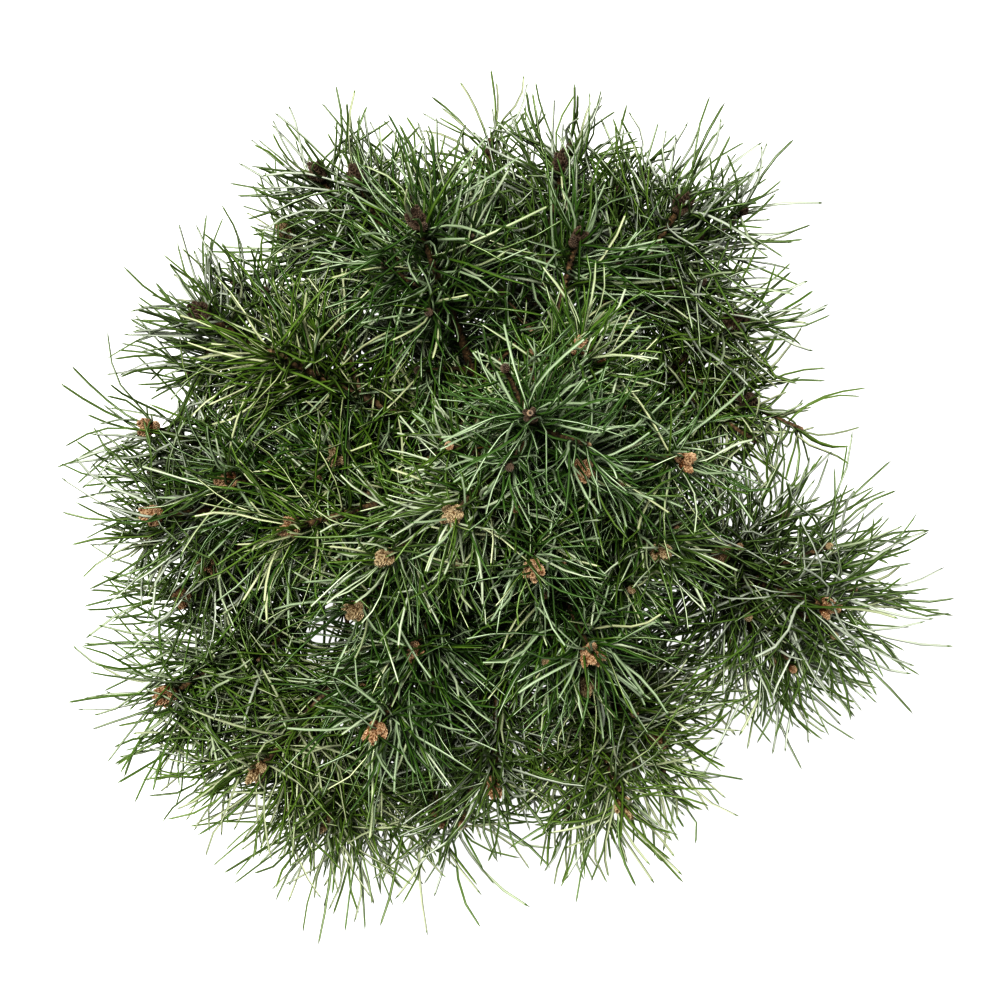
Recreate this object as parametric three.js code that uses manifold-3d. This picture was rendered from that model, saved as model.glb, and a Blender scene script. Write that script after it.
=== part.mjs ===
// A young Scots pine in a plain round grower's pot, in millimetres, +Z up.
// The origin is the middle of the pot's flat underside. Azimuth 0 is +X and 90 is +Y.
// The trunk stands on the compost. Boughs leave it in false whorls, one for each year, and
// rise to the foliage, where twigs hold stiff needles and end in a cluster of winter buds.
import * as THREE from "three";
import { mergeVertices } from "three/addons/utils/BufferGeometryUtils.js";
import Module from "manifold-3d";

const wasm = await Module();
wasm.setup();

// Pot: a five-litre container with a straight taper, a stacking shoulder and a rolled rim
const POT_HEIGHT = 185;
const POT_FOOT_RADIUS = 84;
const POT_SHOULDER_RADIUS = 103;
const POT_SHOULDER_HEIGHT = 152;
const POT_BAND_RADIUS = 107.5;
const POT_RIM_RADIUS = 112.5;
const POT_RIM_DEPTH = 7;
const POT_WALL = 2.4;
const POT_FLOOR = 3.2;
const POT_SIDES = 36;
const DRAIN_HOLES = 6;
const DRAIN_HOLE_RADIUS = 6;
const DRAIN_RING_RADIUS = 56;

// Compost, heaped a little round the stem
const COMPOST_LEVEL = 164;
const COMPOST_EDGE_DROP = 4;
const COMPOST_FLAT_RADIUS = 34;

// Trunk
const TRUNK_BASE_RADIUS = 8.6;
const TRUNK_FLARE = 5.2;
const TRUNK_FLARE_HEIGHT = 13;
const TRUNK_TOP_RADIUS = 3.4;
const TRUNK_TOP_HEIGHT = 612;
const TRUNK_SIDES = 10;
const TRUNK_STEPS = 16;

// Boughs, twigs, needles and buds
const BOUGH_FOOT_RADIUS = 4.4;
const TWIG_ROOT_RADIUS = 3.0;
const TWIG_TIP_RADIUS = 2.3;
const FOLIAGE_LENGTH = 150;
const BOUGH_SIDES = 6;
const BOUGH_STEPS = 5;
const TWIG_SIDES = 4;
const TWIG_STEPS = 4; // of the path that distances are measured to
const TIER_SPACING = 14; // from one tier of needles to the next
const TIER_DEPTH = 4;
const TIER_TWIST = (Math.PI / 2) * 0.382;
const BARE_LENGTH = 12;
const NEEDLE_LENGTH = 67;
const NEEDLE_TESTS = 12; // points along a needle where its distance to the rest is tested
const NEEDLE_LEAN = [68, 47]; // degrees from the shoot, at its root and at its tip
const BUD_LENGTH = 15;
const BUD_RADIUS = 3.5;
const BUD_NECK = 4;
const BUD_LEAN = 40;
const SHOOT_TILT = 12; // degrees from upright at the tip, and more for each millimetre of reach
const SHOOT_TILT_PER_REACH = 0.11;

const GAP = 0.3; // between pieces that touch
const SPACE = 1.2; // between a needle and the next mass, or a limb
const SEED = 20517;
const UP = new THREE.Vector3(0, 0, 1);

// The branches, from the lowest up. foot is the height at which one leaves the trunk. tip is its
// leading shoot's azimuth in degrees, its reach from the pot's axis and its height. Each of sides
// is a side shoot: its turn from the leading shoot in degrees, its reach and its height.
const BRANCHES = [
  { name: "right_low", foot: 224, tip: [340, 214, 450], sides: [[-12, 210, 385], [3, 143, 420]] },
  { name: "back_low", foot: 226, tip: [93, 233, 370], sides: [] },
  { name: "left_front_low", foot: 228, tip: [211, 262, 360], sides: [[-13, 229, 345]] },
  { name: "back_left_low", foot: 246, tip: [131, 224, 360], sides: [] },
  { name: "right_back_low", foot: 246, tip: [37, 180, 400], sides: [[-16, 168, 365]] },
  { name: "front_left_low", foot: 248, tip: [241, 249, 340], sides: [[17, 222, 350]] },
  { name: "front_right_low", foot: 250, tip: [301, 187, 375], sides: [] },
  { name: "back_right", foot: 312, tip: [59, 211, 440], sides: [[8, 225, 365]] },
  { name: "left_back", foot: 310, tip: [150, 223, 460], sides: [] },
  { name: "front_left", foot: 308, tip: [228, 245, 385], sides: [] },
  { name: "front_right", foot: 322, tip: [290, 214, 430], sides: [] },
  { name: "back_left", foot: 339, tip: [116, 219, 460], sides: [[5, 236, 440]] },
  { name: "left", foot: 326, tip: [184, 225, 450], sides: [[-14, 235, 420], [10, 203, 385]] },
  { name: "front", foot: 340, tip: [267, 188, 430], sides: [] },
  { name: "back", foot: 354, tip: [81, 211, 425], sides: [] },
  { name: "back_left_high", foot: 409, tip: [109, 167, 580], sides: [] },
  { name: "left_high", foot: 421, tip: [178, 173, 495], sides: [[-8, 108, 500]] },
  { name: "front_left_high", foot: 410, tip: [241, 168, 505], sides: [[-2, 115, 495]] },
  { name: "right_high", foot: 425, tip: [338, 96, 570], sides: [] },
  { name: "left_back_high", foot: 434, tip: [150, 170, 525], sides: [] },
  { name: "front_right_high", foot: 441, tip: [296, 108, 570], sides: [[-5, 128, 500]] },
  { name: "back_high", foot: 446, tip: [75, 159, 505], sides: [] },
  { name: "left_middle", foot: 464, tip: [190, 134, 545], sides: [] },
  { name: "left_front_high", foot: 482, tip: [218, 117, 530], sides: [] },
  { name: "crown_left", foot: 538, tip: [208, 81, 620], sides: [] },
  { name: "crown_right", foot: 540, tip: [10, 103, 600], sides: [] },
  { name: "crown_back", foot: 556, tip: [64, 90, 640], sides: [] },
  { name: "crown_front", foot: 568, tip: [286, 46, 650], sides: [] },
  { name: "crown_right_top", foot: 580, tip: [15, 42, 670], sides: [] },
  { name: "crown_left_top", foot: 590, tip: [203, 34, 682], sides: [] },
];
const LEADER_TIP = [76, 42, 755];

const MATERIALS = {
  pot: { color: "#2b2c2d", roughness: 0.55, metalness: 0 },
  compost: { color: "#33241a", roughness: 0.95, metalness: 0 },
  bark: { color: "#7a5a42", roughness: 0.9, metalness: 0 },
  foliage: { color: "#4f7535", roughness: 0.5, metalness: 0 },
};

// Random numbers from 0 to 1 that are the same in each run
function seeded(seed) {
  let state = seed >>> 0;
  return () => {
    state = (state + 0x6d2b79f5) >>> 0;
    let mixed = Math.imul(state ^ (state >>> 15), state | 1);
    mixed ^= mixed + Math.imul(mixed ^ (mixed >>> 7), mixed | 61);
    return ((mixed ^ (mixed >>> 14)) >>> 0) / 4294967296;
  };
}

// A point from its azimuth in degrees, its reach from the Z axis and its height
function polar(azimuth, reach, height) {
  const turn = THREE.MathUtils.degToRad(azimuth);
  return new THREE.Vector3(reach * Math.cos(turn), reach * Math.sin(turn), height);
}

// Solids for cutting and joining

function solidOf(geometry) {
  const bare = geometry.index ? geometry.clone() : geometry;
  bare.deleteAttribute("normal");
  bare.deleteAttribute("uv");
  const merged = mergeVertices(bare, 1e-3);
  return new wasm.Manifold(
    new wasm.Mesh({
      numProp: 3,
      vertProperties: merged.attributes.position.array,
      triVerts: new Uint32Array(merged.index.array),
    }),
  );
}

function geometryOf(solid) {
  const mesh = solid.getMesh();
  const geometry = new THREE.BufferGeometry();
  geometry.setAttribute("position", new THREE.BufferAttribute(mesh.vertProperties, 3));
  geometry.setIndex(new THREE.BufferAttribute(mesh.triVerts, 1));
  return geometry;
}

// A closed round limb along a curve: a cylinder with each ring moved on to the curve
function limb(curve, radiusAt, sides, steps) {
  const geometry = new THREE.CylinderGeometry(1, 1, 1, sides, steps);
  const frames = curve.computeFrenetFrames(steps);
  const position = geometry.attributes.position;
  for (let i = 0; i < position.count; i++) {
    const step = Math.round((position.getY(i) + 0.5) * steps);
    const along = step / steps;
    const radius = radiusAt(along);
    const point = curve
      .getPointAt(along)
      .addScaledVector(frames.binormals[step], position.getX(i) * radius)
      .addScaledVector(frames.normals[step], position.getZ(i) * radius);
    position.setXYZ(i, point.x, point.y, point.z);
  }
  return solidOf(geometry);
}

function lathe(profile) {
  const points = profile.map(([radius, height]) => new THREE.Vector2(radius, height));
  return new THREE.LatheGeometry(points, POT_SIDES).rotateX(Math.PI / 2);
}

// Pot and compost

function potWallRadius(height) {
  const share = Math.min(height / POT_SHOULDER_HEIGHT, 1);
  return THREE.MathUtils.lerp(POT_FOOT_RADIUS, POT_SHOULDER_RADIUS, share);
}

function makePot() {
  const inside = (height) => potWallRadius(height) - POT_WALL;
  const shell = lathe([
    [0, 0],
    [POT_FOOT_RADIUS - 2, 0],
    [POT_FOOT_RADIUS, 2],
    [POT_SHOULDER_RADIUS, POT_SHOULDER_HEIGHT],
    [POT_BAND_RADIUS, POT_SHOULDER_HEIGHT + 2],
    [POT_BAND_RADIUS + 0.8, POT_HEIGHT - POT_RIM_DEPTH],
    [POT_RIM_RADIUS, POT_HEIGHT - POT_RIM_DEPTH + 1],
    [POT_RIM_RADIUS, POT_HEIGHT - 1.5],
    [POT_RIM_RADIUS - 1.5, POT_HEIGHT],
    [POT_BAND_RADIUS - POT_WALL, POT_HEIGHT - 1],
    [POT_BAND_RADIUS - POT_WALL - 0.4, POT_SHOULDER_HEIGHT + 3],
    [inside(POT_SHOULDER_HEIGHT), POT_SHOULDER_HEIGHT - 1],
    [inside(POT_FLOOR), POT_FLOOR],
    [0, POT_FLOOR],
  ]);
  const holes = [];
  for (let i = 0; i < DRAIN_HOLES; i++) {
    const at = polar((360 / DRAIN_HOLES) * i, DRAIN_RING_RADIUS, 0);
    const drill = new THREE.CylinderGeometry(DRAIN_HOLE_RADIUS, DRAIN_HOLE_RADIUS, 4 * POT_FLOOR, 8);
    holes.push(solidOf(drill.rotateX(Math.PI / 2).translate(at.x, at.y, 0)));
  }
  return geometryOf(solidOf(shell).subtract(wasm.Manifold.union(holes)));
}

function makeCompost() {
  const edge = COMPOST_LEVEL - COMPOST_EDGE_DROP;
  const rim = POT_BAND_RADIUS - POT_WALL - 0.4 - GAP;
  const wall = (height) => potWallRadius(height) - POT_WALL - GAP;
  return lathe([
    [0, POT_FLOOR + GAP],
    [wall(POT_FLOOR), POT_FLOOR + GAP],
    [wall(POT_SHOULDER_HEIGHT) - 0.2, POT_SHOULDER_HEIGHT - 1],
    [rim - 0.2, POT_SHOULDER_HEIGHT + 3.6],
    [rim - 0.2, edge],
    [COMPOST_FLAT_RADIUS, COMPOST_LEVEL],
    [0, COMPOST_LEVEL],
  ]);
}

// The trunk's line: it leans towards the back and sways a little on the way to the leader's tip
const leaderTip = polar(...LEADER_TIP);
const trunkFoot = new THREE.Vector3(0, 0, COMPOST_LEVEL + GAP);

function trunkAt(height) {
  const rise = (height - trunkFoot.z) / (leaderTip.z - trunkFoot.z);
  const sway = Math.sin(Math.PI * 2 * rise);
  return new THREE.Vector3(
    leaderTip.x * rise - 5 * sway,
    leaderTip.y * rise ** 1.3 - 3 * sway,
    height,
  );
}

function trunkRadius(height) {
  const above = height - trunkFoot.z;
  const share = above / (TRUNK_TOP_HEIGHT - trunkFoot.z);
  const flare = TRUNK_FLARE * Math.exp(-above / TRUNK_FLARE_HEIGHT);
  return THREE.MathUtils.lerp(TRUNK_BASE_RADIUS, TRUNK_TOP_RADIUS, share) + flare;
}

// Rings lie level, and closer together at the root flare
function makeTrunk(extra) {
  const geometry = new THREE.CylinderGeometry(1, 1, 1, TRUNK_SIDES, TRUNK_STEPS).rotateX(Math.PI / 2);
  const position = geometry.attributes.position;
  for (let i = 0; i < position.count; i++) {
    const share = (position.getZ(i) + 0.5) ** 1.6;
    const height = THREE.MathUtils.lerp(trunkFoot.z, TRUNK_TOP_HEIGHT + extra, share);
    const centre = trunkAt(height);
    const radius = trunkRadius(height) + extra;
    position.setXYZ(
      i,
      centre.x + position.getX(i) * radius,
      centre.y + position.getY(i) * radius,
      height,
    );
  }
  return solidOf(geometry);
}

// A branch's line, from the trunk to the tip of a shoot: it leaves flat and turns up at the end

function shootLine(foot, tip, leaves) {
  const out = tip.clone().sub(foot).setZ(0);
  const reach = out.length();
  out.normalize();
  const tilt = THREE.MathUtils.degToRad(SHOOT_TILT + SHOOT_TILT_PER_REACH * reach);
  const heading = out.clone().multiplyScalar(Math.sin(tilt)).addScaledVector(UP, Math.cos(tilt));
  const bend = 0.34 * foot.distanceTo(tip);
  const first = leaves
    ? foot.clone().addScaledVector(leaves, bend)
    : foot.clone().addScaledVector(out, 0.4 * reach).addScaledVector(UP, 0.1 * reach);
  return new THREE.CubicBezierCurve3(foot, first, tip.clone().addScaledVector(heading, -bend), tip);
}

// The part of a curve from one share of its length to another
class Stretch extends THREE.Curve {
  constructor(whole, from, to) {
    super();
    this.whole = whole;
    this.from = from;
    this.to = to;
  }
  getPoint(share, target = new THREE.Vector3()) {
    return this.whole.getPointAt(THREE.MathUtils.lerp(this.from, this.to, share), target);
  }
}

// Plans every branch before any solid is made, because each mass has to know the others' twigs
function planBranch({ name, foot, tip, sides }, index) {
  const random = seeded(SEED + 97 * index);
  const whole = shootLine(trunkAt(foot), polar(...tip));
  const length = whole.getLength();
  const hasBough = length > 1.25 * FOLIAGE_LENGTH;
  const start = hasBough ? 1 - FOLIAGE_LENGTH / length : 0;
  const stem = new Stretch(whole, start + (hasBough ? GAP / length : 0), 1);
  const twigs = [stem];
  for (const [turn, reach, height] of sides) {
    const fork = 0.06 + 0.16 * random() + 0.12 * (twigs.length - 1);
    const along = stem.getTangentAt(fork);
    const sideTip = polar(tip[0] + turn, reach, height);
    const aside = sideTip.clone().sub(stem.getPointAt(fork));
    aside.addScaledVector(along, -aside.dot(along)).normalize();
    twigs.push(shootLine(stem.getPointAt(fork), sideTip, along.add(aside).normalize()));
  }
  const bough = hasBough ? new Stretch(whole, 0, start) : null;
  return { name, bough, twigs, random, placed: [], bareSide: Math.floor(4 * random()) };
}

const plans = BRANCHES.map(planBranch);
const leaderStart = trunkAt(TRUNK_TOP_HEIGHT - 2);
const leaderLine = new THREE.CatmullRomCurve3([
  leaderStart,
  trunkAt((TRUNK_TOP_HEIGHT + leaderTip.z) / 2),
  leaderTip,
]);
plans.push({
  name: "leader",
  bough: null,
  twigs: [leaderLine],
  random: seeded(SEED - 1),
  placed: [],
  bareSide: -1,
});

const boughRadius = (share) => THREE.MathUtils.lerp(BOUGH_FOOT_RADIUS, TWIG_ROOT_RADIUS, share);

// Distances that keep each mass in its own space

function pathOf(curve, steps) {
  return curve.getSpacedPoints(steps);
}

function distanceToPath(point, path) {
  const segment = new THREE.Line3();
  const nearest = new THREE.Vector3();
  let least = Infinity;
  for (let i = 1; i < path.length; i++) {
    segment.set(path[i - 1], path[i]).closestPointToPoint(point, true, nearest);
    least = Math.min(least, nearest.distanceTo(point));
  }
  return least;
}

for (const plan of plans) plan.paths = plan.twigs.map((twig) => pathOf(twig, TWIG_STEPS));
const limbPaths = plans.filter((plan) => plan.bough).map((plan) => pathOf(plan.bough, BOUGH_STEPS));
const trunkPath = [];
for (let step = 0; step <= TRUNK_STEPS; step++) {
  const share = (step / TRUNK_STEPS) ** 1.6;
  trunkPath.push(trunkAt(THREE.MathUtils.lerp(trunkFoot.z, TRUNK_TOP_HEIGHT, share)));
}

// True where a point lies nearer to its own mass's twigs than to any other's, and clear of limbs
function inOwnSpace(point, own) {
  if (distanceToPath(point, trunkPath) < trunkRadius(point.z) + SPACE) return false;
  if (limbPaths.some((path) => distanceToPath(point, path) < BOUGH_FOOT_RADIUS + SPACE)) return false;
  const home = Math.min(...own.paths.map((path) => distanceToPath(point, path)));
  return plans.every(
    (plan) => plan === own || plan.paths.every((path) => distanceToPath(point, path) > home + SPACE),
  );
}

// Shoots: a slim four-sided core in tiers, with needles and buds drawn out of its faces

// The core's rings from root to tip: bare wood, pairs that bear needles, then the middle bud
function ringsOf(length) {
  const radiusAt = (along) => THREE.MathUtils.lerp(TWIG_ROOT_RADIUS, TWIG_TIP_RADIUS, along / length);
  const rings = [{ along: 0, radius: TWIG_ROOT_RADIUS, twist: 0 }];
  const needled = length - BARE_LENGTH - 1.75 * TIER_DEPTH;
  const tiers = Math.round(needled / TIER_SPACING) + 1;
  const spacing = needled / (tiers - 1);
  for (let tier = 0; tier < tiers; tier++) {
    const along = BARE_LENGTH + spacing * tier;
    const twist = TIER_TWIST * (tier + 1);
    rings.push({ along, radius: radiusAt(along), twist, bears: "needles" });
    rings.push({ along: along + TIER_DEPTH, radius: radiusAt(along), twist });
  }
  const twist = TIER_TWIST * (tiers + 1);
  rings.push({ along: length, radius: TWIG_TIP_RADIUS, twist, bears: "buds" });
  rings.push({ along: length + BUD_NECK, radius: TWIG_TIP_RADIUS, twist });
  rings.push({ along: length + BUD_NECK + 0.4 * BUD_LENGTH, radius: BUD_RADIUS, twist });
  rings.push({ along: length + BUD_NECK + BUD_LENGTH, radius: 0.5, twist });
  return rings;
}

// Sets each ring on the curve, with the two directions across it
function placeRings(curve, rings) {
  const length = curve.getLength();
  const across = new THREE.Vector3(-0.31, 0.52, 0.8);
  for (const ring of rings) {
    const share = Math.min(ring.along / length, 1);
    ring.axis = curve.getTangentAt(share);
    ring.centre = curve.getPointAt(share).addScaledVector(ring.axis, Math.max(ring.along - length, 0));
    across.addScaledVector(ring.axis, -across.dot(ring.axis)).normalize();
    ring.across = across.clone().applyAxisAngle(ring.axis, ring.twist);
    ring.over = new THREE.Vector3().crossVectors(ring.axis, ring.across);
  }
}

// A heading that leans from a shoot's axis, on the side that a point lies on
function leaning(ring, point, lean, turn) {
  const side = point.clone().sub(ring.centre);
  side.addScaledVector(ring.axis, -side.dot(ring.axis)).normalize().applyAxisAngle(ring.axis, turn);
  return ring.axis.clone().multiplyScalar(Math.cos(lean)).addScaledVector(side, Math.sin(lean));
}

// The length at which a needle keeps to its mass's space and clear of what is placed, or 0
function needleLength(plan, root, heading, fullLength) {
  for (const share of [1, 0.86, 0.72, 0.58]) {
    const length = fullLength * share;
    const path = [];
    for (let part = 1; part <= NEEDLE_TESTS; part++) {
      path.push(root.clone().addScaledVector(heading, (length * part) / NEEDLE_TESTS));
    }
    const tight = path.slice(NEEDLE_TESTS / 3).some((point) =>
      plan.paths.some((twigPath) => distanceToPath(point, twigPath) < TWIG_ROOT_RADIUS + SPACE),
    );
    const crossed = plan.placed.some((other) =>
      path.some((point) => distanceToPath(point, other.path) < other.room),
    );
    if (tight || crossed || !path.every((point) => inOwnSpace(point, plan))) continue;
    plan.placed.push({ path: [root, path.at(-1)], room: 1.5 * SPACE });
    return length;
  }
  return 0;
}

// Adds to a mesh of plain lists. drawOut turns a triangle into a needle, and swell turns a
// four-sided face into a bud with a belly
function drawOut(mesh, face, tip) {
  const [a, b, c] = mesh.index.slice(3 * face, 3 * face + 3);
  const point = mesh.points.push(tip) - 1;
  mesh.index.splice(3 * face, 3, a, b, point);
  mesh.index.push(b, c, point, c, a, point);
}

function swell(mesh, face, heading) {
  const [a, b, d] = mesh.index.slice(3 * face, 3 * face + 3);
  const c = mesh.index[3 * face + 4];
  const root = [a, b, c, d];
  const middle = root
    .reduce((sum, corner) => sum.add(mesh.points[corner]), new THREE.Vector3())
    .divideScalar(4);
  const belly = root.map((corner) => {
    const side = mesh.points[corner].clone().sub(middle);
    side.addScaledVector(heading, -side.dot(heading)).setLength(0.75 * BUD_RADIUS);
    return mesh.points.push(side.add(middle).addScaledVector(heading, 0.42 * BUD_LENGTH)) - 1;
  });
  const point = mesh.points.push(middle.addScaledVector(heading, BUD_LENGTH)) - 1;
  mesh.index.splice(3 * face, 6, belly[0], belly[1], point, belly[1], belly[2], point);
  mesh.index.push(belly[2], belly[3], point, belly[3], belly[0], point);
  for (let i = 0; i < 4; i++) {
    const next = (i + 1) % 4;
    mesh.index.push(root[i], root[next], belly[next], root[i], belly[next], belly[i]);
  }
}

function middleOf(mesh, face) {
  const [a, b, c] = mesh.index.slice(3 * face, 3 * face + 3).map((corner) => mesh.points[corner]);
  return new THREE.Vector3().add(a).add(b).add(c).divideScalar(3);
}

function makeShoot(plan, twig) {
  const rings = ringsOf(twig.getLength());
  placeRings(twig, rings);
  const steps = rings.length - 1;
  const core = new THREE.CylinderGeometry(1, 1, 1, TWIG_SIDES, steps);
  core.deleteAttribute("normal");
  core.deleteAttribute("uv");
  const merged = mergeVertices(core, 1e-3);
  const position = merged.attributes.position;
  const mesh = { points: [], index: Array.from(merged.index.array) };
  for (let i = 0; i < position.count; i++) {
    const ring = rings[Math.round((position.getY(i) + 0.5) * steps)];
    const point = ring.centre.clone().addScaledVector(ring.over, position.getX(i) * ring.radius);
    mesh.points.push(point.addScaledVector(ring.across, position.getZ(i) * ring.radius));
  }
  const drawn = [];
  for (let band = steps - 1; band >= 0; band--) {
    for (let side = 0; side < TWIG_SIDES; side++) {
      const ring = rings[band];
      const face = 2 * (side * steps + (steps - 1 - band));
      if (ring.bears === "needles") drawn.push({ ring, face: face + Math.round(plan.random()) });
      if (ring.bears === "buds" && side !== plan.bareSide) drawn.push({ ring, face });
    }
  }
  for (const { ring, face } of drawn) {
    const root = middleOf(mesh, face);
    if (ring.bears === "buds") {
      const heading = leaning(ring, root, THREE.MathUtils.degToRad(BUD_LEAN), 0);
      swell(mesh, face, heading);
      const end = root.clone().addScaledVector(heading, BUD_LENGTH);
      plan.placed.push({ path: [root, end], room: BUD_RADIUS + SPACE });
      continue;
    }
    const along = ring.along / twig.getLength();
    const lean = THREE.MathUtils.degToRad(
      THREE.MathUtils.lerp(...NEEDLE_LEAN, along) + 12 * (plan.random() - 0.5),
    );
    const heading = leaning(ring, root, lean, 0.5 * (plan.random() - 0.5));
    const length = needleLength(plan, root, heading, NEEDLE_LENGTH * (0.86 + 0.28 * plan.random()));
    if (length) drawOut(mesh, face, root.clone().addScaledVector(heading, length));
  }
  return new wasm.Manifold(
    new wasm.Mesh({
      numProp: 3,
      vertProperties: new Float32Array(mesh.points.flatMap((point) => point.toArray())),
      triVerts: new Uint32Array(mesh.index),
    }),
  );
}

// Assembly

const trunk = makeTrunk(0);
const trunkWithGap = makeTrunk(GAP);

function makeFoliage(plan) {
  const shoots = plan.twigs.map((twig) => makeShoot(plan, twig));
  const joined = wasm.Manifold.union(shoots).subtract(trunkWithGap);
  const bodies = joined.decompose().sort((a, b) => b.volume() - a.volume());
  return bodies[0];
}

const pine = new THREE.Group();

function add(name, geometry, look) {
  const mesh = new THREE.Mesh(geometry, new THREE.MeshStandardMaterial(MATERIALS[look]));
  mesh.name = name;
  pine.add(mesh);
}

add("pot", makePot(), "pot");
add("compost", makeCompost(), "compost");
add("trunk", geometryOf(trunk), "bark");
for (const plan of plans) {
  if (plan.bough) {
    const bough = limb(plan.bough, boughRadius, BOUGH_SIDES, BOUGH_STEPS).subtract(trunkWithGap);
    add(`bough_${plan.name}`, geometryOf(bough), "bark");
  }
  add(`foliage_${plan.name}`, geometryOf(makeFoliage(plan)), "foliage");
}

export default pine;
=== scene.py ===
# A young Scots pine in a plain grower's pot, dressed for the close view.
# Places and sizes are in millimetres, and MM turns them to metres where a mesh is made.
# Azimuth 0 is +X and 90 is +Y.
import math
from dataclasses import dataclass

import bpy
import numpy as np
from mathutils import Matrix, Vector


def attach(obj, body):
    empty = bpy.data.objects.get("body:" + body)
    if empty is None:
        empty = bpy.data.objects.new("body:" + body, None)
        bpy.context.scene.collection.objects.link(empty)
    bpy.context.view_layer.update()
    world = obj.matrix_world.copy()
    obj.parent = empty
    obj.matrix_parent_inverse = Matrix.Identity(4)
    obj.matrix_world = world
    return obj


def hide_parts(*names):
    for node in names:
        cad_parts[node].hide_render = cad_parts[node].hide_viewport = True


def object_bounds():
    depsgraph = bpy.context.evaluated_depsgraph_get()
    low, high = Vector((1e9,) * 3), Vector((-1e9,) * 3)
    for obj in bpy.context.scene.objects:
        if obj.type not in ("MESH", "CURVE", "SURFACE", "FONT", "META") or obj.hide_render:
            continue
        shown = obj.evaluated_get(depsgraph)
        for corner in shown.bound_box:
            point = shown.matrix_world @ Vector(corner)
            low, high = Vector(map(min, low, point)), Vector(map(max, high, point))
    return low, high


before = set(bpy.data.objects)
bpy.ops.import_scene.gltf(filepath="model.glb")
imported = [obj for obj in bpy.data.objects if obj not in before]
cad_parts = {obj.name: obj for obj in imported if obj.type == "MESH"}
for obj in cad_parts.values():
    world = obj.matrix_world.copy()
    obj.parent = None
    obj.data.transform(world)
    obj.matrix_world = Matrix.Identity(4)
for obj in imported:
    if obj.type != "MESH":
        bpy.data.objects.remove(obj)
cad_low, cad_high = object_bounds()
bpy.ops.object.select_all(action="DESELECT")

MM = 0.001
UP = np.array([0.0, 0.0, 1.0])
GOLDEN_ANGLE = math.pi * (3 - math.sqrt(5))
GAP = 0.3  # that parts which touch stand clear of each other

# Pot and compost
POT_HEIGHT = 185
POT_FOOT_RADIUS = 84
POT_SHOULDER_RADIUS = 103
POT_SHOULDER_HEIGHT = 152
POT_BAND_RADIUS = 107.5
POT_RIM_RADIUS = 112.5
POT_RIM_DEPTH = 7
POT_WALL = 2.4
POT_FLOOR = 3.2
POT_SIDES = 128
DRAIN_HOLES = 6
DRAIN_HOLE_RADIUS = 6
DRAIN_RING_RADIUS = 56
COMPOST_LEVEL = 164
COMPOST_EDGE_DROP = 4
COMPOST_RADIUS = 104.4
COMPOST_SIDE = [(104.3, 156), (100.1, 151), (81, POT_FLOOR + GAP)]  # radius and height
COMPOST_SIDES = 132
COMPOST_RINGS = 41
COMPOST_RING_WIDTH = 2.4
CHIPS = 520
FALLEN_PAIRS = 60

# Trunk, boughs and shoots
TRUNK_BASE_RADIUS = 8.6
TRUNK_FLARE = 5.2
TRUNK_FLARE_HEIGHT = 13
TRUNK_TOP_RADIUS = 3.4
TRUNK_TOP_HEIGHT = 612
BOUGH_FOOT_RADIUS = 4.4
COLLAR = 2.6  # that a bough is thicker where it leaves the trunk
WOOD_VOXEL = 1.15
TWIG_ROOT_RADIUS = 3.0
TWIG_RADII = [(TWIG_ROOT_RADIUS, 2.0), (1.9, 1.4), (1.8, 1.2)]  # at root and tip, by rank
FOLIAGE_LENGTH = 150
YEAR_LENGTH = 86  # of the last year's growth on a leading shoot
SHOOT_TILT = 12
SHOOT_TILT_PER_REACH = 0.11
SEED = 20517

# Needles and buds
NEEDLE_LENGTH = 72
NEEDLE_WIDTH = 1.85
NEEDLE_DENSITY = 0.66  # pairs on a millimetre of shoot
NEEDLE_DEPTH = 1.25
MOST_BOW = 1.05  # of a bent needle's end, as a share of its length
BUD_LENGTH = 17
BUD_RADIUS = 4.0
REACH_MARGIN = 25  # how far a needle may stand out of the solid model's box
LEAST_SHARE = 0.66  # of a needle that may be left when it is cut at that margin
TUFT_WIDTH = 38  # of the wisps that neighbouring needles gather in
WISP_WAVES = 9
OWN_GREEN_SHARE = 0.62  # of a branch's needles have its own green
BROWN_SHARE = 0.01  # of the needles further back than BROWN_BACK are spent
BROWN_BACK = 90
FALLEN_WIDTH = 0.8 * NEEDLE_WIDTH

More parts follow.
